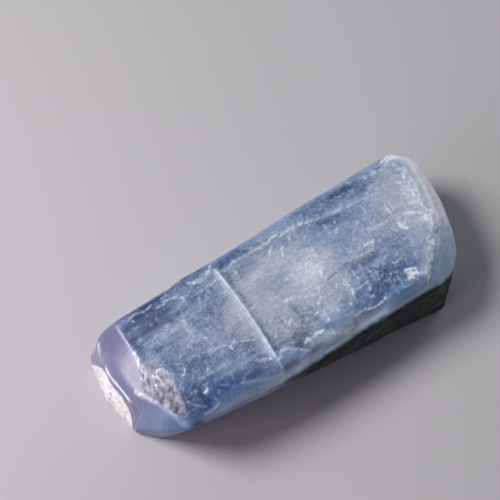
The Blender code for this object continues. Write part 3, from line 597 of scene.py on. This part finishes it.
BEVEL_EDGE = (  # where the top turns down into the growth end
    (0.1, 0.8, (-14.74, 5.38), (-14.75, 4.14), (-14.8, 3.34)),
    (0.13, 1, (-14.8, 3.34), (-14.8, 2.54), (-14.79, 1.75), (-15, 1.3)),
)
BEVEL_MARKS = (  # single bright chips on that edge
    (0.2, 1, (-14.75, 2.5), (-14.85, 1.6)), (0.2, 1, (-14.85, 1.5), (-15, 1.1)),
    (0.15, 0.8, (-14.7, 4.5), (-14.75, 4.2)),
)
CORNER_MARKS = (0.13, 1.0, (-16.55, 6.6), (-16.7, 6.2)), (0.12, 0.5, (-16.7, 6.2), (-16.8, 5.9))
FRONT_STREAKS = (  # faint, along the front bevel
    (0.14, 1, (-8.4, -5.7), (-6.8, -6.3), (-5.1, -6.73), (-2.3, -6.9), (-0.1, -6.75)),
    (0.1, 0.8, (-7.2, -6.7), (-4, -7.2), (-1.9, -7.3), (0.7, -7.2)),
)
upward = ramp(facing[:, 2], 0.1, 0.4)
keep("frost_and_highlights", np.maximum.reduce((
    0.95 * split_highlight,
    0.2 * split_glow * (0.7 + 0.5 * unevenness),
    nicks * upward,
    flecks,
    0.14 * rim * (0.7 + 0.7 * grit) * ramp(y, -2.5, 0.5),
    0.85 * frosting * (1 - 0.45 * ramp(y, 2.5, 4.5)) * (0.25 + 0.75 * ramp(y, -2.5, 1.0)),
    scored(SPARKS) * (0.35 + broken) * upward,
    0.8 * scored(CORNER_MARKS) * broken,
    scored(VEILS) * ramp(0.6 * crumble + grit + 0.5 * sparkle, -0.5, 0.3),
    0.9 * scored(BEVEL_EDGE) * ramp(z, 6.2, 7.0) * broken * (0.7 + 0.5 * ramp(-y, -3.6, -2.0)),
    0.7 * scored(BEVEL_MARKS) * broken,
    0.4 * front_edge * (1 - 0.45 * ramp(x, 1.5, 4.5)) * (0.5 + 0.7 * ramp(crumble + grit, -0.5, 0.4)),
    0.22 * scored(FRONT_STREAKS) * (0.6 + 0.6 * ramp(crumble, -0.4, 0.3)),
    scored(((0.13, 1.0, *PATCH_FOOT),)) * ramp(z, 4.8, 5.4) * broken * (1 - 0.7 * ramp(-y, 1.6, 3.0)),
    lip,
)))

# The brown patch, the crust with painted shade in the groove above it, the matt faces, and painted shade
# with painted green glints on the front side.
pitted = 0.3 + 0.45 * ramp(0.7 * crumble + grit, -0.6, 0.8)
pitted = pitted - 0.12 * ramp(-y, 1.5, 3.0) - 0.2 * ramp(-y, 3.2, 4.6)
keep("stain", brown)
keep("curl", np.maximum(curls * (0.6 + 0.6 * gritty), pitted) - 0.3 * dark_spots)
keep("matt", np.maximum(0.3 * brown, ramp(-facing[:, 0], 0.08, 0.22) * ramp(-x, 11.5, 12.5) * (1 - end)))
keep("crust", foot)
keep("groove", groove * (1 - lip))
keep("shade", fall(z - brow + 0.12 * crumble, -0.34, -0.04) * ramp(-y, 4.5, 6.4) * ramp(x, -8, -2))


def colour(red, green, blue):
    """A colour as it looks, 0 to 255, for a socket that wants light values."""
    parts = (v / 255 / 12.92 if v < 10.3 else ((v / 255 + 0.055) / 1.055) ** 2.4 for v in (red, green, blue))
    return tuple(parts) + (1.0,)


def put(tree, kind, inputs=(), **settings):
    """A node with these settings; an input given as a socket is joined to it."""
    made = tree.nodes.new(kind)
    for name, value in settings.items():
        setattr(made, name, value)
    for name, value in dict(inputs).items():
        if isinstance(value, bpy.types.NodeSocket):
            tree.links.new(value, made.inputs[name])
        else:
            made.inputs[name].default_value = value
    return made


def mixed(tree, amount, below, above):
    """Two colours mixed by an amount."""
    return put(tree, "ShaderNodeMix", {0: amount, 6: below, 7: above}, data_type="RGBA").outputs[2]


def sums(tree, way, a, b=0.0, c=0.0):
    """One step of arithmetic."""
    return put(tree, "ShaderNodeMath", {0: a, 1: b, 2: c}, operation=way).outputs[0]


def times(tree, a, b):
    return sums(tree, "MULTIPLY", a, b)


def plus(tree, a, b, c):
    """a times b, plus c."""
    return sums(tree, "MULTIPLY_ADD", a, b, c)


def spread(tree, value, low, high, first=0.0, last=1.0, soft=True):
    """A value from low to high, spread out from first to last."""
    stops = {"Value": value, "From Min": low, "From Max": high, "To Min": first, "To Max": last}
    kind = "SMOOTHSTEP" if soft else "LINEAR"
    return put(tree, "ShaderNodeMapRange", stops, interpolation_type=kind).outputs[0]


def raw_noise(tree, vector, detail, rough, warp):
    stops = {"Vector": vector, "Scale": 1.0, "Detail": detail, "Roughness": rough, "Distortion": warp}
    return put(tree, "ShaderNodeTexNoise", stops).outputs[0]


def clouds(tree, vector, detail=4.0, rough=0.6, warp=0.0, low=0.35, high=0.65):
    """Soft noise from 0 to 1 over this vector."""
    return spread(tree, raw_noise(tree, vector, detail, rough, warp), low, high)


def shades(tree, amount, stops):
    """A colour that goes through these stops as the amount goes from 0 to 1."""
    node = put(tree, "ShaderNodeValToRGB", {0: amount})
    marks = node.color_ramp.elements
    while len(marks) < len(stops):
        marks.new(0.5)
    for mark, (place, tint) in zip(marks, stops):
        mark.position = place
        mark.color = colour(*tint)
    return node.outputs[0]


def place_in_mm(tree):
    held = tree.nodes.new("ShaderNodeTexCoord").outputs["Object"]
    return put(tree, "ShaderNodeVectorMath", {0: held, "Scale": 1 / MM}, operation="SCALE").outputs[0]


def stretched(tree, place, x, y, z):
    return put(tree, "ShaderNodeVectorMath", {0: place, 1: (x, y, z)}, operation="MULTIPLY").outputs[0]


def new_material(name):
    """A material with its tree of nodes and its shader."""
    made = bpy.data.materials.new(name)
    made.use_nodes = True
    return made, made.node_tree, made.node_tree.nodes["Principled BSDF"]


MASKS = (  # what the skin keeps for the stone
    "frost_and_highlights", "tone", "violet", "teal", "wisps", "fibre", "calm", "far_end_glow", "lilac", "richness", "stain",
    "curl", "crust", "groove", "shade", "matt",
)
BLUES = (  # deep zones first, milky ones last, like the next two
    (0, (36, 56, 98)), (0.25, (72, 99, 144)), (0.5, (130, 152, 184)), (0.75, (177, 186, 206)),
    (1, (219, 223, 236)),
)
VIOLETS = (0, (60, 66, 100)), (0.3, (100, 106, 140)), (0.6, (143, 143, 167)), (1, (204, 203, 214))
BROWNS = (0, (78, 80, 86)), (0.3, (136, 136, 150)), (0.65, (174, 174, 190)), (1, (230, 234, 244))
TEAL, WISP = colour(112, 140, 154), colour(196, 208, 228)
# White for the frost and for the painted highlights, and painted shade for the groove over the crust.
FROST_AND_HIGHLIGHT, GROOVE_SHADE = colour(234, 241, 252), colour(136, 130, 150)
WORN_END_GLOW = colour(194, 219, 250), colour(250, 245, 253)  # painted light for the glow through the stone, over the paler worn end: in front, and towards the back
UNDER_CRUST = colour(236, 230, 226)
# Painted shade for the front side, near black, and the painted green glints in it.
PAINTED_SHADE_SIDE, PAINTED_GLINT = colour(1, 11, 13), colour(54, 100, 84)
INSIDE = colour(120, 160, 215)


def kyanite():
    """Translucent blue stone with milky clouds, deep zones, fine veils and many small nicks."""
    stone, tree, shader = new_material("kyanite")
    mask = {name: put(tree, "ShaderNodeAttribute", attribute_name=name).outputs["Fac"] for name in MASKS}
    place = place_in_mm(tree)

    fibres = clouds(tree, stretched(tree, place, 0.26, 3.2, 3.2), 5.0, 0.65, 0.3)
    mottle = clouds(tree, stretched(tree, place, 1.3, 1.7, 1.7), 4.0, 0.65, 0.5)
    grain = clouds(tree, stretched(tree, place, 3.6, 5.6, 5.6), 3.0, 0.7, 0.1, 0.3, 0.7)
    cross = clouds(tree, stretched(tree, place, 3.2, 0.6, 1.0), 4.0, 0.65, 0.6)

    fibrous = plus(tree, mask["fibre"], 0.11, 0.1)
    wiggle = plus(tree, fibres, fibrous, plus(tree, mask["fibre"], -0.045, -0.245))
    wiggle = plus(tree, mottle, 0.08, wiggle)
    wiggle = plus(tree, cross, 0.07, wiggle)
    wiggle = plus(tree, grain, 0.22, wiggle)
    restless = plus(tree, mask["calm"], -0.7, 1.0)
    tone = plus(tree, wiggle, restless, mask["tone"])
    rich = {"Saturation": plus(tree, mask["richness"], 0.9, 0.42), "Color": shades(tree, tone, BLUES)}
    blue = put(tree, "ShaderNodeHueSaturation", rich).outputs[0]
    body = mixed(tree, mask["violet"], blue, shades(tree, tone, VIOLETS))
    body = mixed(tree, times(tree, mask["teal"], 0.4), body, TEAL)
    # Painted light on the worn end, over its paler worn surface, for the glow through the stone.
    body = mixed(tree, times(tree, mask["far_end_glow"], 0.85), body, mixed(tree, mask["lilac"], *WORN_END_GLOW))

    veils = [0.0]
    for size, seat in ((0.55, 0.0), (1.1, 30.0)):
        held = stretched(tree, place, 0.8 * size, 1.2 * size, 1.2 * size)
        held = put(tree, "ShaderNodeVectorMath", {0: held, 1: (seat, 0, 0)}, operation="ADD").outputs[0]
        line = sums(tree, "ABSOLUTE", sums(tree, "SUBTRACT", raw_noise(tree, held, 3.0, 0.6, 1.2), 0.5))
        veils.append(sums(tree, "MAXIMUM", veils[-1], spread(tree, line, 0.0, 0.035, 1.0, 0.0)))
    veil = times(tree, veils[-1], times(tree, mottle, plus(tree, mask["wisps"], 0.28, 0.2)))
    body = mixed(tree, times(tree, veil, restless), body, WISP)
    # White frost, with the painted highlights on the split and the lip.
    body = mixed(tree, mask["frost_and_highlights"], body, FROST_AND_HIGHLIGHT)

    body = mixed(tree, mask["stain"], body, shades(tree, mask["curl"], BROWNS))
    # Painted shade in the groove over the crust.
    body = mixed(tree, mask["groove"], body, GROOVE_SHADE)
    body = mixed(tree, mask["crust"], body, UNDER_CRUST)
    # Painted shade on the front side, broken by painted green glints.
    painted_glints = clouds(tree, stretched(tree, place, 0.5, 0.9, 0.9), 4.0, 0.65, 0.6, 0.46, 0.72)
    body = mixed(tree, mask["shade"], body, mixed(tree, painted_glints, PAINTED_SHADE_SIDE, PAINTED_GLINT))
    tree.links.new(body, shader.inputs["Base Color"])

    rough = plus(tree, mask["frost_and_highlights"], 0.25, plus(tree, grain, 0.1, 0.32))
    rough = plus(tree, mask["shade"], 0.4, rough)
    rough = plus(tree, mask["matt"], 0.4, rough)
    tree.links.new(rough, shader.inputs["Roughness"])
    height = times(tree, restless, plus(tree, fibres, 0.35, times(tree, grain, 0.4)))
    height = sums(tree, "ADD", height, mask["frost_and_highlights"])
    bump = put(tree, "ShaderNodeBump", {"Height": height, "Strength": 0.8, "Distance": 0.035 * MM})
    tree.links.new(bump.outputs[0], shader.inputs["Normal"])
    shader.inputs["IOR"].default_value = 1.72
    shader.inputs["Specular IOR Level"].default_value = 0.3
    shader.inputs["Transmission Weight"].default_value = 0.12
    shader.inputs["Subsurface Weight"].default_value = 0.5
    shader.inputs["Subsurface Radius"].default_value = (0.6, 0.9, 1.3)
    shader.inputs["Subsurface Scale"].default_value = 1.2 * MM
    inner = put(tree, "ShaderNodeVolumeAbsorption", {"Color": INSIDE, "Density": 180.0})
    tree.links.new(inner.outputs[0], tree.nodes["Material Output"].inputs["Volume"])
    return stone


CRUST_LOW, CRUST_HIGH = colour(196, 198, 216), colour(222, 222, 230)
CREAM, SPECK = colour(214, 213, 194), colour(132, 128, 130)


def crust():
    """The opaque pale crust that the growth end stood in, with cream lumps and grey-brown specks."""
    rind, tree, shader = new_material("pale crust")
    place = place_in_mm(tree)
    lumps = clouds(tree, stretched(tree, place, 0.8, 0.8, 0.8), 3.0, 0.6, 0.4, 0.42, 0.6)
    grain = clouds(tree, stretched(tree, place, 1.6, 1.6, 1.6), 4.0, 0.7, 0.3, 0.5, 0.72)
    height = put(tree, "ShaderNodeSeparateXYZ", {0: place}).outputs["Z"]
    body = mixed(tree, spread(tree, height, 0.4, 1.4, soft=False), CRUST_LOW, CRUST_HIGH)
    body = mixed(tree, times(tree, lumps, 0.7), body, CREAM)
    body = mixed(tree, times(tree, grain, 0.75), body, SPECK)
    tree.links.new(body, shader.inputs["Base Color"])
    tree.links.new(plus(tree, grain, 0.15, 0.7), shader.inputs["Roughness"])
    bump = put(tree, "ShaderNodeBump", {"Height": grain, "Strength": 0.7, "Distance": 0.05 * MM})
    tree.links.new(bump.outputs[0], shader.inputs["Normal"])
    return rind


skin.materials.clear()
skin.materials.append(kyanite())
skin.materials.append(crust())
pale = np.empty(count, np.float32)
skin.attributes["crust"].data.foreach_get("value", pale)
in_crust = [int(pale[list(face.vertices)].mean() > 0.5) for face in skin.polygons]
skin.polygons.foreach_set("material_index", in_crust)
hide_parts("kyanite_crystal")
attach(blade, "root")

# ---------------------------------------------------------------------------------------------
# The floor: one plain pale sheet.
FLOOR_SIDE = 1.2
PAPER = 0.468, 0.45, 0.464, 1
sheet = bmesh.new()
bmesh.ops.create_grid(sheet, x_segments=1, y_segments=1, size=FLOOR_SIDE / 2)
floor_mesh = bpy.data.meshes.new("floor")
sheet.to_mesh(floor_mesh)
sheet.free()
floor = bpy.data.objects.new("floor", floor_mesh)
bpy.context.scene.collection.objects.link(floor)
paper, _, matt = new_material("floor paper")
matt.inputs["Base Color"].default_value = PAPER
matt.inputs["Roughness"].default_value = 0.9
floor_mesh.materials.append(paper)

# ---------------------------------------------------------------------------------------------
# Light and camera. One soft lamp up to the left behind the crystal, a weaker lilac one low on the
# left, a cool one low beyond the worn end, a dim even room, and a long lens looking down.
middle = Vector((AXIS[0], AXIS[1], 4.0)) * MM


def lamp(name, way, far, size, energy, tint):
    """A round soft lamp that shines at the crystal from this way."""
    data = bpy.data.lights.new(name, "AREA")
    data.shape, data.size, data.energy, data.color = "DISK", size, energy, tint
    made = bpy.data.objects.new(name, data)
    way = Vector(way).normalized()
    made.location = middle + way * far
    made.rotation_euler = way.to_track_quat("Z", "Y").to_euler()
    made.visible_camera = False
    bpy.context.scene.collection.objects.link(made)


lamp("soft lamp", (-0.523, 0.38, 0.763), 0.202, 0.095, 0.405, (1.0, 1.0, 0.99))
lamp("lilac lamp", (-0.95, -0.05, 0.36), 0.16, 0.1, 0.085, (1.0, 0.76, 1.0))
lamp("cool lamp", (0.93, 0.33, 0.17), 0.2, 0.1, 0.14, (0.96, 0.97, 1.0))

room = bpy.data.worlds.new("room")
room.use_nodes = True
room.node_tree.nodes["Background"].inputs["Color"].default_value = (0.84, 1.02, 1.06, 1)
room.node_tree.nodes["Background"].inputs["Strength"].default_value = 0.11
bpy.context.scene.world = room

AZIMUTH, ELEVATION, DISTANCE = -34.7, 63.5, 0.132
LENS, SENSOR, PICTURE = 100, 36, 500  # mm, mm and pixels
RIGHT_OF_MIDDLE, BELOW_MIDDLE = 33.5, 58  # in pixels, where the crystal lies in the picture
focal = LENS / SENSOR * PICTURE
turn, rise = math.radians(AZIMUTH), math.radians(ELEVATION)
back = Vector((math.sin(turn) * math.cos(rise), -math.cos(turn) * math.cos(rise), math.sin(rise)))
right = Vector((math.cos(turn), math.sin(turn), 0))
over = back.cross(right)
sight = (-back - RIGHT_OF_MIDDLE / focal * right + BELOW_MIDDLE / focal * over).normalized()
level = right.cross(sight).normalized()
across = sight.cross(level).normalized()
lens = bpy.data.cameras.new("camera")
lens.lens, lens.sensor_width = LENS, SENSOR
lens.clip_start, lens.clip_end = 0.01, 10
camera = bpy.data.objects.new("camera", lens)
camera.matrix_world = Matrix((across, level, -sight)).transposed().to_4x4()
camera.location = middle + back * DISTANCE
bpy.context.scene.collection.objects.link(camera)
bpy.context.scene.camera = camera
bpy.context.scene.view_settings.view_transform = "Standard"
